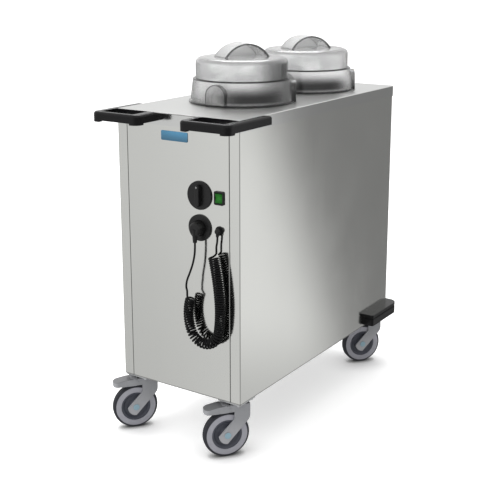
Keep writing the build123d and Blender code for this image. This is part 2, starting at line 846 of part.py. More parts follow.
# Straight leads: short runs joined by the largest arcs that they allow
def make_lead(name, points):
    steps = [two - one for one, two in zip(points, points[1:])]
    radii = [
        0.45 * min(one.length, two.length) / tan(radians(one.get_angle(two)) / 2)
        for one, two in zip(steps, steps[1:])
    ]
    with BuildPart() as lead:
        with BuildLine() as route:
            FilletPolyline(*points, radius=radii)
        with BuildSketch(Plane(origin=points[0], z_dir=steps[0])):
            Circle(wire / 2)
        sweep(path=route.wire())
    keep(lead, name)
    print(name, "length", round(route.wire().length, 1), "radii", [round(radius, 1) for radius in radii])
    return route.wire().length


spout_z = lower_z - gland_reach
gland_lead = make_lead("cord_gland_lead", [
    at_front(outer_column, spout_z, gland_standoff),
    at_front(outer_column, spout_z - lead_run, gland_standoff),
    at_front(outer_column - 1.5, spout_z - 2.2 * lead_run, gland_standoff),
    coil_start - down * lead_run,
    coil_start,
])
plug_lead = make_lead("cord_plug_lead", [
    coil_end,
    coil_end - down * lead_run,
    at_front(inner_column - 20.5, boot_tip_z - 119.0, 36.0),
    at_front(inner_column - 19.0, boot_tip_z - 101.0, 35.5),
    at_front(inner_column - 12.0, boot_tip_z - 81.0, 31.5),
    at_front(inner_column - 5.0, boot_tip_z - 57.0, 27.0),
    at_front(inner_column - 0.8, boot_tip_z - 32.0, 24.2),
    at_front(inner_column, boot_tip_z - 12.0, boot_standoff),
    at_front(inner_column, boot_tip_z, boot_standoff),
])
print("cord length", round(gland_lead + coil_path.wire().length + plug_lead, 0), "mm")


# Casters: bolted head with the swivel pin, angled fork, axle, wheel, tyre and, in front, a brake pedal
def make_caster(where, x, y, braked):
    trail_way = Vector(cos(radians(caster_heading)), sin(radians(caster_heading)), 0)
    side_way = Vector(trail_way.Y, -trail_way.X, 0)
    side = Plane(origin=(x, y, 0), x_dir=trail_way, z_dir=side_way)
    hub = side.from_local_coords(Vector(caster_trail, wheel_radius, 0))
    axle_axis = Axis(hub, side_way)
    section = Plane(origin=hub, x_dir=side_way, z_dir=side_way.cross(Vector(0, 0, 1)))
    plate_low = ground_clearance - plate_thickness
    race_low = plate_low - race_height
    crown_low = 2 * wheel_radius + crown_clearance
    crown_high = race_low - run_clearance
    hub_half = wheel_width / 2 + hub_proud
    leg_inner = hub_half + run_clearance
    leg_outer = leg_inner + leg_thickness
    pivot_z = (crown_low + crown_high) / 2
    leg_way = Vector(-sin(radians(leg_lean)), cos(radians(leg_lean)))
    leg_across = Vector(cos(radians(leg_lean)), sin(radians(leg_lean)))
    axle_spot = Vector(caster_trail, wheel_radius)
    foot = axle_spot - leg_way * sqrt(leg_end ** 2 - leg_width ** 2 / 4)
    toe, low_edge = (foot + leg_across * (way * leg_width / 2) for way in (1, -1))
    heel = low_edge + leg_way * ((low_edge.X + leg_heel) / sin(radians(leg_lean)))
    instep_t = caster_trail - leg_instep
    instep = toe + leg_way * ((toe.X - instep_t) / sin(radians(leg_lean)))

    with BuildPart() as head:
        with BuildSketch(Plane((x, y, plate_low))):
            RectangleRounded(plate_size, plate_size, bolt_head)
            with GridLocations(bolt_spacing, bolt_spacing, 2, 2):
                Circle(bolt_radius + bolt_clearance, mode=Mode.SUBTRACT)
        extrude(amount=plate_thickness)
        with BuildSketch(Plane((x, y, race_low))):
            Circle(race_radius)
        extrude(amount=race_height)
        with BuildSketch(Plane((x, y, crown_low - run_clearance))):
            Circle(pin_radius)
        extrude(amount=race_low - crown_low + run_clearance)
        with BuildSketch(Plane((x, y, crown_low - run_clearance))):
            Circle(pin_cap)
        extrude(amount=-pin_cap_height)
    keep(head, f"caster_head_{where}")

    with BuildPart() as fork:
        with BuildSketch(Plane((x, y, crown_low))):
            Circle(crown_radius)
        extrude(amount=crown_high - crown_low)
        for offset in (leg_inner, -leg_outer):
            with BuildSketch(side.offset(offset)) as leg:
                with BuildLine():
                    Polyline(low_edge, heel, (-leg_heel, crown_high), (instep_t, crown_high), instep, toe)
                    ThreePointArc(toe, axle_spot - leg_way * leg_end, low_edge)
                make_face()
                fillet(leg.vertices().sort_by(lambda spot: (Vector(spot) - heel).length)[0], heel_round)
                if braked:
                    with Locations((caster_trail / 2, crown_high - ear_radius)):
                        Rectangle(caster_trail, 2 * ear_radius)
                    with Locations((caster_trail, crown_high - ear_radius)):
                        Circle(ear_radius)
            extrude(amount=leg_thickness)
        with BuildSketch(side):
            with Locations((-leg_heel + leg_thickness / 2, (heel.Y + heel_round + crown_high) / 2)):
                Rectangle(leg_thickness, crown_high - heel.Y - heel_round)
        extrude(amount=leg_outer, both=True)
        with BuildSketch(Plane((x, y, crown_low))):
            Circle(pin_radius + shaft_clearance)
        extrude(amount=crown_high - crown_low, mode=Mode.SUBTRACT)
        with BuildSketch(side):
            with Locations((caster_trail, wheel_radius)):
                Circle(axle_radius + shaft_clearance)
            if braked:
                with Locations((caster_trail, pivot_z)):
                    Circle(pedal_pin + shaft_clearance)
        extrude(amount=leg_outer, both=True, mode=Mode.SUBTRACT)
    keep(fork, f"fork_{where}")

    with BuildPart() as axle:
        with BuildSketch(side):
            with Locations((caster_trail, wheel_radius)):
                Circle(axle_radius)
        extrude(amount=leg_outer, both=True)
        for offset in (leg_outer, -leg_outer - axle_head_height):
            with BuildSketch(side.offset(offset)):
                with Locations((caster_trail, wheel_radius)):
                    Circle(axle_head)
            extrude(amount=axle_head_height)
    keep(axle, f"axle_{where}")

    with BuildPart() as wheel:
        with BuildSketch(section):
            with BuildLine():
                Polyline(
                    (0, axle_radius + shaft_clearance),
                    (hub_half, axle_radius + shaft_clearance),
                    (hub_half, hub_radius),
                    (web_thickness / 2, hub_radius + rim_thickness),
                    (web_thickness / 2, rim_radius - 2 * rim_thickness),
                    (rim_width / 2, rim_radius - rim_thickness),
                    (rim_width / 2, rim_radius),
                    (0, rim_radius),
                    close=True,
                )
            make_face()
            mirror(about=Plane.YZ)
        revolve(axis=axle_axis)
    keep(wheel, f"wheel_{where}")

    with BuildPart() as tyre:
        with BuildSketch(section) as tyre_section:
            with Locations((0, (rim_radius + wheel_radius) / 2)):
                Rectangle(wheel_width, wheel_radius - rim_radius)
            fillet(tyre_section.vertices().group_by(Axis.Y)[-1], tread_round)
        revolve(axis=axle_axis)
    keep(tyre, f"tyre_{where}")

    if braked:
        rear_t = caster_trail - pedal_heel
        pad_t = caster_trail + ear_radius + pad_gap
        tip_t = caster_trail + pedal_reach
        with BuildPart() as pedal:
            with BuildSketch(side) as arm:
                with Locations(((rear_t + pad_t) / 2, pivot_z)):
                    Rectangle(pad_t - rear_t, 2 * pedal_arm)
                fillet(arm.vertices().group_by(Axis.X)[0], pedal_heel / 2)
            extrude(amount=leg_inner - run_clearance, both=True)
            with BuildSketch(side):
                with Locations((caster_trail, pivot_z)):
                    Circle(pedal_pin)
            extrude(amount=leg_outer, both=True)
        keep(pedal, f"brake_pedal_{where}")

        with BuildPart() as pad:
            with BuildSketch(side):
                with BuildLine():
                    Polyline(
                        (pad_t, pivot_z - pad_under),
                        (tip_t, pivot_z - pad_under),
                        (tip_t, pivot_z - pad_under + pad_tip),
                        (caster_trail + pad_brow, pivot_z + pedal_arm),
                        (pad_t, pivot_z + pedal_arm),
                        close=True,
                    )
                make_face()
            extrude(amount=leg_outer, both=True)
            with BuildSketch(Plane(origin=(x, y, 0), x_dir=trail_way, z_dir=(0, 0, 1))) as plan:
                with Locations(((pad_t + tip_t) / 2, 0)):
                    Rectangle(tip_t - pad_t, 2 * leg_outer)
                fillet(plan.vertices().group_by(Axis.X)[-1], pad_corner)
            extrude(amount=crown_high, mode=Mode.INTERSECT)
        keep(pad, f"pedal_pad_{where}")


for where, (x, y) in caster_places.items():
    make_caster(where, x, y, braked=where.startswith("front"))
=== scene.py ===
# Heated plate dispenser trolley in a plain white studio
from math import ceil, cos, pi, radians, sin

import bpy
import numpy as np
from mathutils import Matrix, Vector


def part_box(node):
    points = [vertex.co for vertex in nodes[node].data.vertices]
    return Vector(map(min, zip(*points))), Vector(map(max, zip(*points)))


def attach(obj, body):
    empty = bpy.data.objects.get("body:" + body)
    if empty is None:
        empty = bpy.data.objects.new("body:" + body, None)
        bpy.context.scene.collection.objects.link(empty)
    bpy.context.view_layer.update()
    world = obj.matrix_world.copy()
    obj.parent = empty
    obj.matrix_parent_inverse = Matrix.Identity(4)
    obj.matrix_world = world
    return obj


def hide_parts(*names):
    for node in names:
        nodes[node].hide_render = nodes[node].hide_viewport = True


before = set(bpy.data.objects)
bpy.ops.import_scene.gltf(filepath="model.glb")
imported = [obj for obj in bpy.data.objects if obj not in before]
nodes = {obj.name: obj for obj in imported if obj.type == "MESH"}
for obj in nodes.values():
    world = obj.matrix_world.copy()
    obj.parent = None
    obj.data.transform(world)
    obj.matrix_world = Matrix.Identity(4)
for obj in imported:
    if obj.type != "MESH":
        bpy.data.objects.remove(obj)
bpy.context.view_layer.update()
corners = ("front_left", "front_right", "rear_left", "rear_right")
wells = ("front", "rear")
print("frame loaded,", len(nodes), "nodes")


# Shader maths: a wire holds a socket, and Python operators on wires add Math nodes
class Wire:
    def __init__(self, tree, socket):
        self.tree = tree
        self.socket = socket

    def maths(self, operation, one, two=0.0):
        return addNode(self.tree, "ShaderNodeMath", {"operation": operation}, {0: one, 1: two})

    def __add__(self, other):
        return self.maths("ADD", self, other)

    def __radd__(self, other):
        return self.maths("ADD", other, self)

    def __sub__(self, other):
        return self.maths("SUBTRACT", self, other)

    def __rsub__(self, other):
        return self.maths("SUBTRACT", other, self)

    def __mul__(self, other):
        return self.maths("MULTIPLY", self, other)

    def __rmul__(self, other):
        return self.maths("MULTIPLY", other, self)

    def __truediv__(self, other):
        return self.maths("DIVIDE", self, other)

    def __rtruediv__(self, other):
        return self.maths("DIVIDE", other, self)

    def __pow__(self, other):
        return self.maths("POWER", self, other)

    def root(self):
        return self.maths("SQRT", self)

    def size(self):
        return self.maths("ABSOLUTE", self)

    # 0 below low, 1 above high, smooth between
    def rise(self, low, high):
        settings = {"interpolation_type": "SMOOTHSTEP"}
        sockets = {"Value": self, "From Min": low, "From Max": high}
        return addNode(self.tree, "ShaderNodeMapRange", settings, sockets)


# Any node: its type, its settings, which are set first, and the values or links of its sockets
def addNode(tree, kind, settings, sockets, output=0):
    node = tree.nodes.new(kind)
    for name, value in settings.items():
        if name == "stops":
            ramp = node.color_ramp.elements
            while len(ramp) < len(value):
                ramp.new(1.0)
            for element, (place, colour) in zip(ramp, value):
                element.position = place
                element.color = (*colour, 1.0)
        else:
            setattr(node, name, value)
    for name, value in sockets.items():
        if isinstance(value, Wire):
            tree.links.new(value.socket, node.inputs[name])
        else:
            node.inputs[name].default_value = value
    return Wire(tree, node.outputs[output])


class Finish:
    # a material with one Principled shader; the same all over unless a wire is plugged in
    def __init__(self, name, colour, roughness, **fixed):
        self.material = bpy.data.materials.new(name)
        self.material.use_nodes = True
        self.tree = self.material.node_tree
        self.shader = self.tree.nodes["Principled BSDF"]
        self.set("Base Color", (*colour, 1.0))
        self.set("Roughness", roughness)
        for socket, value in fixed.items():
            self.set(socket.replace("_", " "), value)
        self.colour = colour
        self.roughness = roughness

    def set(self, socket, value):
        self.shader.inputs[socket].default_value = value

    def plug(self, socket, wire):
        self.tree.links.new(wire.socket, self.shader.inputs[socket])

    def add(self, kind, settings, sockets, output=0):
        return addNode(self.tree, kind, settings, sockets, output)

    # object coordinates in metres, moved and stretched
    def coords(self, scale=(1, 1, 1), shift=(0, 0, 0)):
        place = self.add("ShaderNodeTexCoord", {}, {}, "Object")
        return self.add("ShaderNodeMapping", {}, {"Vector": place, "Location": shift, "Scale": scale})

    def axes(self, names, shift=(0, 0, 0)):
        place = self.coords((1, 1, 1), shift)
        return [self.add("ShaderNodeSeparateXYZ", {}, {0: place}, axis) for axis in names]

    def noise(self, scale, stretch=(1, 1, 1), detail=3.0, rough=0.5):
        sockets = {"Vector": self.coords(stretch), "Scale": scale, "Detail": detail, "Roughness": rough}
        return self.add("ShaderNodeTexNoise", {}, sockets)

    def blend(self, share, one, two):
        colours = {6: (*one, 1.0) if isinstance(one, tuple) else one}
        colours[7] = (*two, 1.0) if isinstance(two, tuple) else two
        return self.add("ShaderNodeMix", {"data_type": "RGBA"}, {0: share, **colours}, 2)

    def bump(self, height, distance, strength=1.0):
        sockets = {"Height": height, "Distance": distance, "Strength": strength}
        self.plug("Normal", self.add("ShaderNodeBump", {}, sockets))

    # the usual pair: a colour that wanders between two shades and a roughness that wanders with it
    def wander(self, wire, spread, roughSpread):
        dark = tuple(c * (1 - spread) for c in self.colour)
        light = tuple(min(c * (1 + spread), 1.0) for c in self.colour)
        self.plug("Base Color", self.blend(wire, dark, light))
        self.plug("Roughness", self.roughness + (wire - 0.5) * roughSpread)

    def onto(self, *names):
        for name in names:
            target = nodes[name] if isinstance(name, str) else name
            target.data.materials.clear()
            target.data.materials.append(self.material)


def perCorner(stem):
    return [f"{stem}_{corner}" for corner in corners]


# Stainless sheet: a fine upright grain, and hand smudges as wide soft patches
steel = {
    "colour": (0.69, 0.695, 0.67), "roughness": 0.11, "grain": 700.0, "smudge": 5.0, "stretch": 0.012,
    "line": (0.20, 0.20, 0.195), "foot": (0.1618, 0.1634), "footShadeShare": 0.7,
}
topPlate = {
    "colour": (0.66, 0.665, 0.655), "roughness": 0.12, "coat": 0.15,
    "face": (0.8992, 0.8999), "faceShare": 0.36, "faceRough": 0.22, "rimRough": 0.10, "smudgeRough": 0.04,
    "bend": 0.8984, "bendHalf": (0.0006, 0.0014), "bendFront": (-0.4240, -0.4225), "bendShadeShare": 0.8,
}
innerSteel = {"colour": (0.46, 0.46, 0.45), "roughness": 0.34, "stretch": 0.02}


def sheetFinish(name, colour, roughness, stretch):
    sheet = Finish(name, colour, roughness, Metallic=1.0)
    grain = sheet.noise(steel["grain"], stretch, 2.0)
    smudge = sheet.noise(steel["smudge"], (1, 1, 1), 4.0, 0.6)
    sheet.wander(grain * 0.35 + smudge * 0.65, 0.03, 0.10)
    sheet.bump(grain, 0.00002, 0.35)
    return sheet


# another colour over a share of what already feeds the colour; used here for painted shade lines along edges, and for
# painted shade or light on the top plate, the forks and the pads
def tintOver(sheet, share, colour=steel["line"]):
    under = Wire(sheet.tree, sheet.shader.inputs["Base Color"].links[0].from_socket)
    sheet.plug("Base Color", sheet.blend(share, under, colour))


satinSheet = sheetFinish("satinSheet", steel["colour"], steel["roughness"], (1, 1, steel["stretch"]))
# painted shade: a dark line along the bottom edge of the panels, in place of the shade under their lower fold
panelHeight = satinSheet.axes("Z")[0]
tintOver(satinSheet, (1.0 - panelHeight.rise(*steel["foot"])) * steel["footShadeShare"])
satinSheet.onto("side_panel_left", "side_panel_right", "front_panel", "rear_panel", "base_pan")

# top plate: rougher on its upper face than on its rim, with painted shade that darkens its upper face and a painted
# shade line along the front bend
topSheet = sheetFinish("topSheet", topPlate["colour"], topPlate["roughness"], (1, steel["stretch"], 1))
topHeight, topDepth = topSheet.axes("ZY")
topFace = topHeight.rise(*topPlate["face"])
frontBendShade = 1.0 - (topHeight - topPlate["bend"]).size().rise(*topPlate["bendHalf"])
frontBendShade = frontBendShade * (1.0 - topDepth.rise(*topPlate["bendFront"]))
# painted shade over the upper face and along the front bend
tintOver(topSheet, frontBendShade * topPlate["bendShadeShare"] + topFace * topPlate["faceShare"])
smudge = topSheet.noise(steel["smudge"]) * topPlate["smudgeRough"]
topSheet.plug("Roughness", topPlate["rimRough"] + topFace * topPlate["faceRough"] + smudge)
topSheet.set("Coat Weight", topPlate["coat"])
topSheet.onto("top_plate")

innerSheet = sheetFinish("innerSheet", innerSteel["colour"], innerSteel["roughness"], (1, 1, innerSteel["stretch"]))
innerSheet.onto(*[f"{stem}_{well}" for stem in ("guides", "platform", "carriage") for well in wells])


# Zinc plate on the caster heads and bolts: a speckle of crystals
zinc = Finish("zincPlate", (0.52, 0.53, 0.54), 0.36, Metallic=1.0)
crystals = zinc.add("ShaderNodeTexVoronoi", {}, {"Vector": zinc.coords(), "Scale": 260.0}, "Color")
speckle = zinc.add("ShaderNodeSeparateColor", {}, {"Color": crystals})
zinc.wander(speckle, 0.12, 0.18)
zinc.onto("caster_bolts", *perCorner("caster_head"))

# Close-wound springs: the turns show as a ripple along the length
spring = Finish("springWire", (0.34, 0.34, 0.33), 0.3, Metallic=1.0)
heightOnly = spring.coords((0, 0, 1))
turns = spring.add("ShaderNodeTexWave", {"bands_direction": "Z"}, {"Vector": heightOnly, "Scale": 160.0})
spring.wander(turns, 0.35, 0.1)
spring.bump(turns, 0.0012)
spring.onto("springs_front", "springs_rear")

# Heater tube: straw and blue heat tints on dull steel
heater = Finish("heaterTube", (0.16, 0.13, 0.11), 0.42, Metallic=1.0)
heater.wander(heater.noise(28.0), 0.45, 0.2)
heater.onto("heater_front", "heater_rear")

# Clear hoods: hazy plastic under a bright skin, with painted shade that deepens round to the right and in a dark oval
# at the foot, painted shade lines round each edge and pocket, and soft painted reflections over the dome
hoodClear = {
    "dome": {"front": ((0.88, 0.885, 0.885), (0.22, 0.22, 0.22)), "rear": ((0.88, 0.885, 0.885), (0.80, 0.80, 0.80))},
    "skirt": {"front": ((0.90, 0.90, 0.90), (0.40, 0.40, 0.40)), "rear": ((0.92, 0.92, 0.92), (0.96, 0.96, 0.96))},
    "strap": (0.84, 0.845, 0.845), "foot": (0.0, 0.0, 0.0), "line": (0.01, 0.01, 0.01),
    "crown": (0.50, 0.50, 0.50), "crownSpan": (0.018, 0.006), "crownDull": 0.5,
    "roughness": 0.24, "clear": 0.86, "cloudReflection": 13.0, "cloudSpan": (0.36, 0.64), "cloudShades": (0.86, 1.12),
    "rightRear": (0.85, 0.53), "rearSpan": (0.22, 0.92), "rightFront": (0.75, -0.66), "frontSpan": (0.62, 0.97),
    "ovalTop": (0.922, 0.958), "ovalFoot": (0.905, 0.914), "ovalShare": 0.7, "ledge": (0.906, 0.924),
    "ledgeShare": 0.3, "dull": 0.8, "step": 0.9643, "stepHalf": 0.0011, "flange": 0.9018, "flangeHalf": 0.0020,
    "pocketTop": 0.9283, "pocketHalf": 0.029, "pocketTurns": (-85.0, 35.0, 155.0), "pocketOut": (0.11, 0.12),
    "pocketLine": (0.0008, 0.0018), "strapTurn": 60.0, "strapEdge": (0.0330, 0.0334),
}
strapWay = (sin(radians(hoodClear["strapTurn"])), -cos(radians(hoodClear["strapTurn"])), 0.0)


def clearFinish(name, middle, colour, roughness=hoodClear["roughness"], share=hoodClear["clear"]):
    # the finish, and the three coordinates from the hood's axis
    clear = Finish(name, colour, roughness, Transmission_Weight=share, IOR=1.5, Specular_IOR_Level=0.25,
                   Coat_Weight=1.0, Coat_IOR=1.6, Coat_Roughness=0.06)
    clear.plug("Roughness", roughness + (clear.noise(26.0) - 0.5) * 0.06)
    return clear, *clear.axes("XYZ", tuple(-middle * (1, 1, 0)))


for well in wells:
    middle = sum(np.array(spot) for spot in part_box(f"hood_{well}")) / 2
    hood, x, y, z = clearFinish(f"hoodClear_{well}", middle, hoodClear["dome"][well][0])
    radius = (x * x + y * y).root() + 0.001
    # cosines of the turns from the right rear and from the right front
    rightRear, rightFront = (x * hoodClear[way][0] + y * hoodClear[way][1] for way in ("rightRear", "rightFront"))
    # painted shade: the dome and the skirt darken round to the right
    around = (rightRear / radius).rise(*hoodClear["rearSpan"])
    facing = (rightFront / radius).rise(*hoodClear["frontSpan"])
    # painted reflections: soft cloudy patches, lighter and darker, over the dome's colour
    cloudReflection = hood.noise(hoodClear["cloudReflection"], (1, 1, 1.8), 2.0).rise(*hoodClear["cloudSpan"])
    plain, paintedShade = hoodClear["dome"][well]
    plain = hood.blend(cloudReflection, *[tuple(c * shade for c in plain) for shade in hoodClear["cloudShades"]])
    dome = hood.blend(around, plain, paintedShade)
    # painted shade and a weaker coat from the shoulder over the crown
    top = float(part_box(f"hood_{well}")[1][2])
    crown = z.rise(*[top - drop for drop in hoodClear["crownSpan"]])
    dome = hood.blend(crown, dome, hoodClear["crown"])
    skirt = hood.blend(around, *hoodClear["skirt"][well])
    # painted shade: a dark oval at the foot facing the right front, where the dark well shows through, and a dark
    # band along the ledge
    low = 1.0 - hoodClear["ovalShare"] + z.rise(*hoodClear["ovalFoot"]) * hoodClear["ovalShare"]
    oval = (1.0 - z.rise(*hoodClear["ovalTop"])) * facing * low
    ledge = (1.0 - z.rise(*hoodClear["ledge"])) * hoodClear["ledgeShare"]
    skirt = hood.blend(oval.maths("MAXIMUM", oval, ledge), skirt, hoodClear["foot"])
    shine = (1.0 - around * hoodClear["dull"]) * (1.0 - oval * hoodClear["ovalShare"])
    for turn in np.radians(hoodClear["pocketTurns"]):
        # outline of a round-headed pocket: distance from its middle line, less its half width
        out, across = x * cos(turn) + y * sin(turn), y * cos(turn) - x * sin(turn)
        above = z - hoodClear["pocketTop"]
        above = above.maths("MAXIMUM", above, 0.0)
        rim = ((across * across + above * above).root() - hoodClear["pocketHalf"]).size()
        line = (1.0 - rim.rise(*hoodClear["pocketLine"])) * out.rise(*hoodClear["pocketOut"])
        # painted shade line round the pocket
        skirt = hood.blend(line * hoodClear["dull"], skirt, hoodClear["line"])
    tint = hood.blend(z.rise(hoodClear["step"] - 0.0002, hoodClear["step"] + 0.0002), skirt, dome)
    # painted shade lines along the step and along the flange
    for edge in ("step", "flange"):
        half = hoodClear[f"{edge}Half"]
        line = 1.0 - (z - hoodClear[edge]).size().rise(half, half * 2)
        tint = hood.blend(line, tint, hoodClear["line"])
        shine = shine * (1.0 - line * hoodClear["dull"])
    hood.plug("Base Color", tint)
    hood.plug("Coat Weight", shine * (1.0 - crown * hoodClear["crownDull"]))
    hood.onto(f"hood_{well}")
    strap, x, y, z = clearFinish(f"strapClear_{well}", middle, hoodClear["strap"])
    # painted shade line along both edges of the strap
    edge = (x * strapWay[0] + y * strapWay[1]).size().rise(*hoodClear["strapEdge"])
    strap.plug("Base Color", strap.blend(edge, hoodClear["strap"], hoodClear["line"]))
    strap.onto(f"hood_handle_{well}")


# Moulded plastics: spark-eroded grain, with broad faint changes of gloss
def mouldedFinish(name, colour, roughness, grainSize, depth, spread=0.12, **fixed):
    plastic = Finish(name, colour, roughness, **fixed)
    grain = plastic.noise(1.0 / grainSize, (1, 1, 1), 2.0)
    plastic.wander(grain * 0.5 + plastic.noise(14.0) * 0.5, spread, 0.16)
    plastic.bump(grain, depth, 0.6)
    return plastic


mouldedFinish("blackMoulding", (0.005, 0.005, 0.0055), 0.24, 0.0011, 0.00006, Specular_IOR_Level=0.2).onto(
    "handle_left", "handle_right", "bumper_left", "bumper_right")
mouldedFinish("blackFitting", (0.008, 0.008, 0.008), 0.34, 0.0008, 0.00006, Specular_IOR_Level=0.3).onto(
    "knob", "switch_housing", "parking_socket", "plug", "cable_gland", "thermostat")
# caster forks, with painted light on the lower leg, so that the fork is darker up under the cabinet
casterGrey = {"colour": (0.31, 0.315, 0.33), "leg": (0.43, 0.43, 0.45), "legSpan": (0.045, 0.115), "roughness": 0.44}
forkGrey, padGrey = (mouldedFinish(name, casterGrey["colour"], casterGrey["roughness"], 0.0012, 0.0001)
                     for name in ("forkGrey", "padGrey"))
forkHeight = forkGrey.axes("Z")[0]
tintOver(forkGrey, 1.0 - forkHeight.rise(*casterGrey["legSpan"]), casterGrey["leg"])
forkGrey.onto(*perCorner("fork"), "brake_pedal_front_left", "brake_pedal_front_right")
mouldedFinish("hubBlueGrey", (0.062, 0.066, 0.085), 0.46, 0.0012, 0.0001).onto(*perCorner("wheel"))

# Lit rocker: green plastic with a soft glow that fades towards its edges
glow = {"green": (0.006, 0.08, 0.006), "bright": (0.012, 0.085, 0.010), "dim": (0.0, 0.008, 0.0), "span": (0.1, 1.1)}
rocker = Finish("rockerGreen", glow["green"], 0.25, Emission_Strength=1.0, Specular_IOR_Level=0.15)
low, high = (np.array(corner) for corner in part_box("switch_rocker"))
middle, half = (low + high) / 2, (high - low) / 2
glowSpot = rocker.coords(tuple(1 / half), tuple(-middle / half))
spread = rocker.add("ShaderNodeVectorMath", {"operation": "MULTIPLY"}, {0: glowSpot, 1: (1, 0, 1)})
fade = rocker.add("ShaderNodeVectorMath", {"operation": "LENGTH"}, {0: spread}, "Value")
rocker.plug("Emission Color", rocker.blend(fade.rise(*glow["span"]), glow["bright"], glow["dim"]))
rocker.plug("Roughness", 0.18 + rocker.noise(120.0) * 0.1)
rocker.onto("switch_rocker")
print("sheet, plastic and hood finishes ready")


# Tyres and axle caps: rings round each wheel's own axle, so each wheel has its own centre
heading = radians(231.5)  # way that the wheels trail at rest
trailWay = np.array([cos(heading), sin(heading), 0.0])
axleWay = np.array([-trailWay[1], trailWay[0], 0.0])
tyre = {"side": (0.38, 0.38, 0.42), "treadShade": (0.014, 0.015, 0.021), "edge": (0.0546, 0.0566), "roughness": 0.55}
cap = {"colour": (0.29, 0.45, 0.53), "ring": (0.27, 0.31, 0.34), "edge": (0.0082, 0.0090)}
pad = {"brow": 0.022, "tip": 0.060, "tipRise": 0.0125, "top": (0.15, 0.152, 0.158), "edge": (0.0004, 0.0010)}


def fromAxle(part, centre):
    # distances from the axle along the trail and upwards
    place = part.coords((1, 1, 1), tuple(-centre))
    return [part.add("ShaderNodeVectorMath", {"operation": "DOT_PRODUCT"}, {0: place, 1: tuple(way)}, "Value")
            for way in (trailWay, (0.0, 0.0, 1.0))]


def radiusWire(part, centre):
    along, upward = fromAxle(part, centre)
    return (along * along + upward * upward).root()


for corner in corners:
    low, high = (np.array(spot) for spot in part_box(f"wheel_{corner}"))
    centre = (low + high) / 2
    rubber = Finish(f"tyre_{corner}", tyre["side"], tyre["roughness"])
    scuff = rubber.noise(90.0, (1, 1, 1), 5.0, 0.65)
    # the tread a darker tone than the side
    band = (radiusWire(rubber, centre) + (scuff - 0.5) * 0.0012).rise(*tyre["edge"])
    sideColour = rubber.blend(scuff, tuple(c * 0.85 for c in tyre["side"]), tuple(c * 1.12 for c in tyre["side"]))
    treadColour = rubber.blend(scuff, tuple(c * 0.7 for c in tyre["treadShade"]), tuple(c * 1.6 for c in tyre["treadShade"]))
    rubber.plug("Base Color", rubber.blend(band, sideColour, treadColour))
    rubber.plug("Roughness", tyre["roughness"] + scuff * 0.2)
    rubber.bump(scuff, 0.0002, 0.5)
    rubber.onto(f"tyre_{corner}")
    axleCap = Finish(f"axleCap_{corner}", cap["colour"], 0.35)
    grain = axleCap.noise(500.0)
    ring = radiusWire(axleCap, centre).rise(*cap["edge"])
    dot = axleCap.blend(grain, tuple(c * 0.9 for c in cap["colour"]), tuple(c * 1.08 for c in cap["colour"]))
    axleCap.plug("Base Color", axleCap.blend(ring, dot, cap["ring"]))
    axleCap.plug("Roughness", 0.3 + grain * 0.15)
    axleCap.onto(f"axle_{corner}")

# Brake pads: painted shade on the top face, where the cabinet shades it, level to the brow and then falling to the
# tip
for corner in corners[:2]:
    centre = sum(np.array(spot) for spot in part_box(f"axle_{corner}")) / 2
    foot, top = (float(spot[2]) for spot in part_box(f"pedal_pad_{corner}"))
    fall = (top - foot - pad["tipRise"]) / (pad["tip"] - pad["brow"])
    treadShade = mouldedFinish(f"padTopShade_{corner}", casterGrey["colour"], casterGrey["roughness"], 0.0012, 0.0001)
    along, upward = fromAxle(treadShade, centre)
    past = along - pad["brow"]
    depth = float(top - centre[2]) - past.maths("MAXIMUM", past, 0.0) * fall - upward
    # painted shade over the pad's top face
    tintOver(treadShade, 1.0 - depth.rise(*pad["edge"]), pad["top"])
    treadShade.onto(f"pedal_pad_{corner}")
print("wheels and pads finished")


# Curly cord: lead from the gland, the hanging loop of turns, lead to the plug, all on one spline (in mm)
cord = {
    "face": -423.5, "gland": (132.0, 616.0), "boot": (72.0, 582.0, 23.5), "spout": (132.0, 603.0, 10.0),
    "wire": 5.2, "turnGap": 0.65, "coil": 27.0, "standoff": 21.5, "heading": 14.0, "shift": (-5.0, -65.0),
    "arcs": ((113.0, 695.0), (87.0, 353.0), (118.0, 45.0), (81.0, 127.0)),
    "runIn": 60.0, "tail": 12.0, "tailShift": 2.0, "leadRun": 8.0, "perTurn": 14, "length": 4.50,
}
helixRadius = (cord["coil"] - cord["wire"]) / 2
pitches = [(cord["wire"] + cord["turnGap"]) / (1 - helixRadius / radius) for _, radius in cord["arcs"]]
turnCounts = [length / pitch for (length, _), pitch in zip(cord["arcs"], pitches)]
coilTurns = ceil(sum(turnCounts)) + 1 / 2 - cord["runIn"] / 180


def coilAxis(turns):
    # a chain of arcs, each from where the last one stops: point and way outwards
    spot = np.array(cord["gland"]) + np.array(cord["shift"]) + np.zeros((len(turns), 2))
    heading = np.full(len(turns), radians(cord["heading"]))
    left = turns.copy()
    for number, ((_, radius), pitch) in enumerate(zip(cord["arcs"], pitches)):
        share = left if number == len(pitches) - 1 else np.minimum(left, turnCounts[number])
        ahead = heading - share * pitch / radius
        spot += radius * np.stack([np.cos(ahead) - np.cos(heading), np.sin(ahead) - np.sin(heading)], -1)
        heading, left = ahead, left - share
    return spot, np.stack([np.cos(heading), np.sin(heading)], -1)


def atFront(x, z, out):
    # a point in front of the panel, in metres
    return np.stack(np.broadcast_arrays(x, cord["face"] - np.asarray(out, float), z), -1) / 1000


def helix(turns, size=1.0):
    # a circle of the coil's radius carried along the axis, one lap for each turn
    spot, outward = coilAxis(turns)
    phase = np.radians(-90 - cord["runIn"] - 360 * turns)
    swing = spot + outward * (size * helixRadius * np.cos(phase))[:, None]
    return atFront(swing[:, 0], swing[:, 1], cord["standoff"] + size * helixRadius * np.sin(phase))


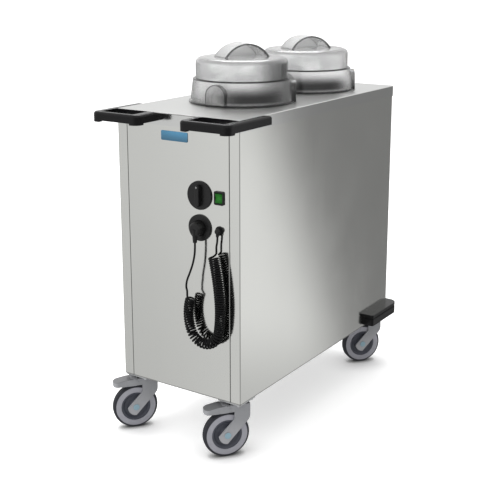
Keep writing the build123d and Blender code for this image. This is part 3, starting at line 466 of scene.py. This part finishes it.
def coilEnd(turns, side):
    # upright tail beside the axis, and the two knees that lead from it into the first or last turn
    spot, outward = coilAxis(np.array([turns]))
    tail = (spot + outward * cord["tailShift"] + (0, cord["tail"]))[0]
    near = atFront(*tail, cord["standoff"] + side * helixRadius)
    close = helix(turns + np.array([-0.001, 0.0, 0.001]))
    way = (close[2] - close[0]) / np.linalg.norm(close[2] - close[0])
    upward = np.array([0, 0, 1.0])
    one, oneWay, two, twoWay = (near, -upward, close[1], way) if side < 0 else (close[1], way, near, upward)
    chord, ways, spread = two - one, oneWay + twoWay, 2 * (1 - oneWay @ twoWay)
    reach = (np.sqrt((chord @ ways) ** 2 + spread * chord @ chord) - chord @ ways) / spread
    knees = [one + oneWay * reach, two - twoWay * reach]
    far = [near + upward * size / 1000 for size in (cord["wire"] + cord["leadRun"], cord["wire"], 0.0)]
    return [*far, *knees] if side < 0 else [*knees, *far[::-1]]


spoutX, spoutZ, spoutOut = cord["spout"]
bootX, bootZ, bootOut = cord["boot"]
glandOffsets = [(0.0, 0.0), (0.0, -cord["leadRun"]), (-1.5, -2.2 * cord["leadRun"])]
plugOffsets = [(-20.5, -119.0, 36.0), (-19.0, -101.0, 35.5), (-12.0, -81.0, 31.5), (-5.0, -57.0, 27.0),
               (-0.8, -32.0, 24.2), (0.0, -12.0, bootOut), (0.0, 0.0, bootOut)]
laps = np.linspace(0, coilTurns, ceil(coilTurns * cord["perTurn"]) + 1)
route = np.vstack([
    [atFront(spoutX + x, spoutZ + z, spoutOut) for x, z in glandOffsets],
    coilEnd(0.0, -1),
    helix(laps, 1 / cos(pi / cord["perTurn"])),  # drawn a little large: the spline runs inside its points
    coilEnd(coilTurns, 1),
    [atFront(bootX + x, bootZ + z, out) for x, z, out in plugOffsets],
])

flex = bpy.data.curves.new("curlyCord", "CURVE")
flex.dimensions = "3D"
flex.resolution_u = 3
flex.bevel_depth = cord["wire"] / 2000
flex.bevel_resolution = 3
flex.use_fill_caps = True
spline = flex.splines.new("NURBS")
spline.points.add(len(route) - 1)
spline.points.foreach_set("co", np.c_[route, np.ones(len(route))].ravel())
spline.order_u = 3
spline.use_endpoint_u = True
curlyCord = bpy.data.objects.new("curlyCord", flex)
bpy.context.scene.collection.objects.link(curlyCord)
cordSkin = Finish("cordSkin", (0.005, 0.005, 0.0055), 0.46, Specular_IOR_Level=0.15)
cordSkin.wander(cordSkin.noise(240.0), 0.2, 0.18)
flex.materials.append(cordSkin.material)
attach(curlyCord, "cabinet")
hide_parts("cord_coil", "cord_gland_lead", "cord_plug_lead")
print("cord has", len(route), "points and", round(coilTurns, 2), "turns")


def addPiece(name, vertices, faces):
    mesh = bpy.data.meshes.new(name)
    mesh.from_pydata(vertices.tolist(), [], faces)
    mesh.update()
    piece = bpy.data.objects.new(name, mesh)
    bpy.context.scene.collection.objects.link(piece)
    return piece


# Small plates: rounded rectangles lofted from a back ring to a bevelled front ring, poles closed
def platePiece(name, origin, across, upward, width, height, depth, corner, bevel):
    # outline: a rounded rectangle swept by angle; rings: outline scaled by inset and lifted by depth
    across, upward = np.array(across, float), np.array(upward, float)
    outward = np.cross(across, upward)
    angle = np.linspace(0, 2 * pi, 64, endpoint=False)
    way = np.stack([np.cos(angle), np.sin(angle)], -1)
    rings = [(1.0, 0.0), (0.0, 0.0), (0.0, depth - bevel), (bevel * 0.3, depth - bevel * 0.3), (bevel, depth),
             (1.0, depth)]
    points = []
    for inset, lift in rings:
        if inset == 1.0:
            flat = np.zeros_like(way)
        else:
            half = np.array([width, height]) / 2 - inset
            bend = max(corner - inset, 1e-5)
            flat = np.sign(way) * (half - bend) * (np.abs(way) > 1e-9) + way * bend
        points.append(np.array(origin) + flat[:, :1] * across + flat[:, 1:] * upward + outward * lift)
    count = len(angle)
    vertices = np.vstack([points[0][:1], *points[1:-1], points[-1][:1]])
    column = np.arange(count)
    ahead = (column + 1) % count
    last = len(vertices) - 1
    faces = [(0, 1 + b, 1 + a) for a, b in zip(column, ahead)]
    for ring in range(len(rings) - 3):
        base, top = 1 + ring * count, 1 + (ring + 1) * count
        faces += np.stack([base + column, base + ahead, top + ahead, top + column], -1).tolist()
    base = 1 + (len(rings) - 3) * count
    faces += [(base + a, base + b, last) for a, b in zip(column, ahead)]
    return addPiece(name, vertices, faces)


# Bare blue plate on the front, where such trolleys carry a badge
badge = {
    "middle": (-0.006, -0.4235, 0.843), "size": (0.084, 0.025), "depth": 0.0016, "corner": 0.003, "bevel": 0.0006,
    "blue": (0.05, 0.18, 0.30), "span": (0.830, 0.856),
}
plate = platePiece("bluePlate", badge["middle"], (1, 0, 0), (0, 0, 1), *badge["size"], badge["depth"],
                   badge["corner"], badge["bevel"])
plateFinish = Finish("plateBlue", badge["blue"], 0.30)
plateHeight = plateFinish.axes("Z")[0]
# painted shade and light: the plate darker towards the bottom and lighter towards the top
plateFinish.wander(plateHeight.rise(*badge["span"]) * 0.9 + plateFinish.noise(500.0) * 0.1, 0.35, 0.08)
plateFinish.onto(plate)
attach(plate, "cabinet")

# Pale dot let into the upper end of the knob's grip
low, high = (np.array(spot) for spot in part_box("knob"))
dot = {"sink": 0.0001, "drop": 0.015, "size": (0.004, 0.005), "depth": 0.0004, "corner": 0.0019, "bevel": 0.0001}
dotPlace = ((low[0] + high[0]) / 2, low[1] + dot["sink"], high[2] - dot["drop"])
mark = platePiece("knobMark", dotPlace, (1, 0, 0), (0, 0, 1), *dot["size"], dot["depth"], dot["corner"], dot["bevel"])
markFinish = Finish("markPale", (0.22, 0.22, 0.22), 0.45)
markFinish.wander(markFinish.noise(400.0), 0.08, 0.1)
markFinish.onto(mark)
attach(mark, "knob")


# Closed far side of each hood's arch: a thin wall from the hood's top up to the strap
web = {"half": 0.0593, "rise": 0.0325, "wall": 0.0015, "edge": 0.0338, "grey": (0.70, 0.70, 0.70)}


def webPiece(name, middle, foot):
    # height: a circle through both feet and the crown; ring: up the far skin and down the near one
    bend = (web["half"] ** 2 + web["rise"] ** 2) / (2 * web["rise"])
    along = web["half"] * np.linspace(-0.985, 0.985, 49)
    crown = np.sqrt(bend ** 2 - along ** 2) - bend + web["rise"]
    share = np.linspace(0, 1, 9)
    ring = np.concatenate([share, share[::-1]])
    depth = np.repeat([-web["edge"], -web["edge"] + web["wall"]], len(share))
    strap = np.array(strapWay)
    strapAlong = np.array([-strap[1], strap[0], 0.0])
    points = (np.array([middle[0], middle[1], foot]) + along[:, None, None] * strapAlong
              + depth[None, :, None] * strap + (crown[:, None] * ring)[..., None] * np.array([0, 0, 1.0]))
    count = len(ring)
    row, column = np.meshgrid(np.arange(len(along) - 1), np.arange(count), indexing="ij")
    ahead = (column + 1) % count
    quads = np.stack([row * count + column, row * count + ahead, (row + 1) * count + ahead,
                      (row + 1) * count + column], -1).reshape(-1, 4).tolist()
    ends = [list(range(count))[::-1], [(len(along) - 1) * count + spot for spot in range(count)]]
    return addPiece(name, points.reshape(-1, 3), quads + ends)


for well in wells:
    low, high = (np.array(spot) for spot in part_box(f"hood_handle_{well}"))
    wall = webPiece(f"hoodWeb_{well}", (low + high) / 2, low[2])
    webFinish, *_ = clearFinish(f"webClear_{well}", (low + high) / 2, web["grey"], 0.3, 0.6)
    webFinish.onto(wall)
    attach(wall, f"hood_{well}")

# Cheeks of the brake pads: thin plates that lap the outside of the fork's ears
cheek = {
    "ahead": 0.0085, "out": 0.0186, "height": 0.13585, "size": (0.030, 0.0184), "depth": 0.0016, "corner": 0.006,
    "bevel": 0.0006,
}
for corner in corners[:2]:
    low, high = (np.array(spot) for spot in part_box(f"axle_{corner}"))
    for side, hand in ((1, "right"), (-1, "left")):
        spot = (low + high) / 2 + trailWay * cheek["ahead"] - axleWay * side * cheek["out"]
        spot[2] = cheek["height"]
        lap = platePiece(f"padCheek_{corner}_{hand}", spot, side * trailWay, (0, 0, 1), *cheek["size"],
                         cheek["depth"], cheek["corner"], cheek["bevel"])
        padGrey.onto(lap)
        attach(lap, f"pedal_{corner}")
print("plate, mark, webs and cheeks made")


# Studio: a white floor that keeps the shadow, soft lamps, and a world whose reflections run from light to dark
studio = {
    "size": 40.0, "floor": 0.92, "lift": 0.45, "shade": 0.40, "window": 0.85,
    "contact": 0.09, "contactPower": 2.0, "touch": 0.02, "touchPower": 1.3, "touchShade": 0.06,
    "dark": 0.245, "light": 0.985, "corner": 0.40, "front": 0.75, "glow": 0.12,
    "foot": 0.32, "footSpan": (0.335, 0.43), "frontFoot": 0.12, "frontFootSpan": (0.20, 0.42),
    "slant": 18.7, "edge": (33.5, 37.3), "cornerEdge": (70.0, 95.0), "frontEdge": (150.0, 180.0),
    "leftEdge": (-115.0, -85.0), "glowEdge": (-147.0, -138.5), "glowEnd": (-178.0, -160.0), "horizon": (-0.02, 0.10),
    "leftward": (-0.75, -0.25, 0.45), "leftSpan": (-0.55, 0.75),
}
square = studio["size"] * np.array([(-1, -1, 0), (1, -1, 0), (1, 1, 0), (-1, 1, 0)])
floor = addPiece("floor", square, [(0, 1, 2, 3)])
floorFinish = Finish("floorWhite", (studio["floor"],) * 3, 0.9, Emission_Strength=1.0)
direct = floorFinish.add("ShaderNodeLightPath", {}, {}, "Is Camera Ray")
through = floorFinish.add("ShaderNodeLightPath", {}, {}, "Is Transmission Ray")
# openness of the floor: a wide soft shade under the trolley and a dark touch close to the wheels
contact, touch = (floorFinish.add("ShaderNodeAmbientOcclusion", {}, {"Distance": studio[reach]}, "AO")
                  ** studio[f"{reach}Power"] for reach in ("contact", "touch"))
floorFinish.plug("Base Color", floorFinish.blend(touch, (studio["touchShade"],) * 3, (studio["floor"],) * 3))
lift = direct.maths("MAXIMUM", direct, through) * studio["lift"] * contact * touch
liftColour = floorFinish.add("ShaderNodeCombineColor", {}, {"Red": lift, "Green": lift, "Blue": lift})
floorFinish.plug("Emission Color", liftColour)
floorFinish.onto(floor)
floor.visible_glossy = False

world = bpy.data.worlds.new("studio")
bpy.context.scene.world = world
world.use_nodes = True
sky = world.node_tree
way = addNode(sky, "ShaderNodeTexCoord", {}, {}, "Generated")
east, north, up = [addNode(sky, "ShaderNodeSeparateXYZ", {}, {0: way}, axis) for axis in "XYZ"]
azimuth = east.maths("ARCTAN2", east, north) * (180 / pi)  # from plus Y towards plus X
# below the horizon: dark behind, light to the right past a slanting edge, dim to the right front, even in front
down = 0.0 - up
light = studio["light"] * (1.0 - down.rise(*studio["footSpan"]) * studio["foot"])
front = studio["front"] * (1.0 - down.rise(*studio["frontFootSpan"]) * studio["frontFoot"])
around = studio["dark"] + (azimuth - up * studio["slant"]).rise(*studio["edge"]) * (light - studio["dark"])
around = around - azimuth.rise(*studio["cornerEdge"]) * (light - studio["corner"])
around = around + azimuth.rise(*studio["frontEdge"]) * (front - studio["corner"])
around = around + (1.0 - azimuth.rise(*studio["leftEdge"])) * (front - studio["dark"])
# a little lighter straight in front, on the right of what the front panel mirrors
glowShare = (1.0 - azimuth.rise(*studio["glowEdge"])) * azimuth.rise(*studio["glowEnd"])
around = around + glowShare * studio["glow"]
above = up.rise(*studio["horizon"])
glossy = around * (1.0 - above) + above * studio["light"]
path = {name: addNode(sky, "ShaderNodeLightPath", {}, {}, name)
        for name in ("Is Camera Ray", "Is Glossy Ray", "Is Transmission Ray")}
seen = path["Is Camera Ray"] + path["Is Transmission Ray"]
strength = seen.maths("MINIMUM", seen, 1.0) + path["Is Glossy Ray"] * glossy
lit = 1.0 - (seen + path["Is Glossy Ray"]).rise(0.4, 0.6)
background = sky.nodes["Background"]
background.inputs["Color"].default_value = (1, 1, 1, 1)
# light on dull surfaces comes mostly from the left and above
leftward = east * studio["leftward"][0] + north * studio["leftward"][1] + up * studio["leftward"][2]
dull = studio["shade"] + leftward.rise(*studio["leftSpan"]) * studio["window"]
sky.links.new((strength + lit * dull).socket, background.inputs["Strength"])

# shown: whether the lamp is seen in reflections
lamps = {
    "topLamp": {"place": (-0.6, 0.7, 3.0), "target": (0, 0, 0.4), "side": 1.8, "power": 42.0, "shown": True},
    "frontLamp": {"place": (-1.6, -2.6, 1.9), "target": (0, 0, 0.5), "side": 1.6, "power": 18.0, "shown": False},
}
for name, values in lamps.items():
    lamp = bpy.data.lights.new(name, "AREA")
    lamp.size = values["side"]
    lamp.energy = values["power"]
    holder = bpy.data.objects.new(name, lamp)
    holder.location = values["place"]
    away = holder.location - type(holder.location)(values["target"])
    holder.rotation_euler = away.to_track_quat("Z", "Y").to_euler()
    holder.visible_glossy = values["shown"]
    bpy.context.scene.collection.objects.link(holder)

view = {
    "place": (1.511, -2.368, 1.266), "turn": 33.52, "pitch": 12.88, "focal": 986.5, "rise": -0.12, "sensor": 36.0,
    "frame": 500,
}
eye = bpy.data.cameras.new("camera")
eye.sensor_width = view["sensor"]
eye.lens = view["focal"] / view["frame"] * view["sensor"]
eye.shift_y = view["rise"]
camera = bpy.data.objects.new("camera", eye)
camera.location = view["place"]
camera.rotation_euler = (radians(90 - view["pitch"]), 0, radians(view["turn"]))
bpy.context.scene.collection.objects.link(camera)
bpy.context.scene.camera = camera
bpy.context.scene.view_settings.view_transform = "Standard"
print("studio and camera ready")
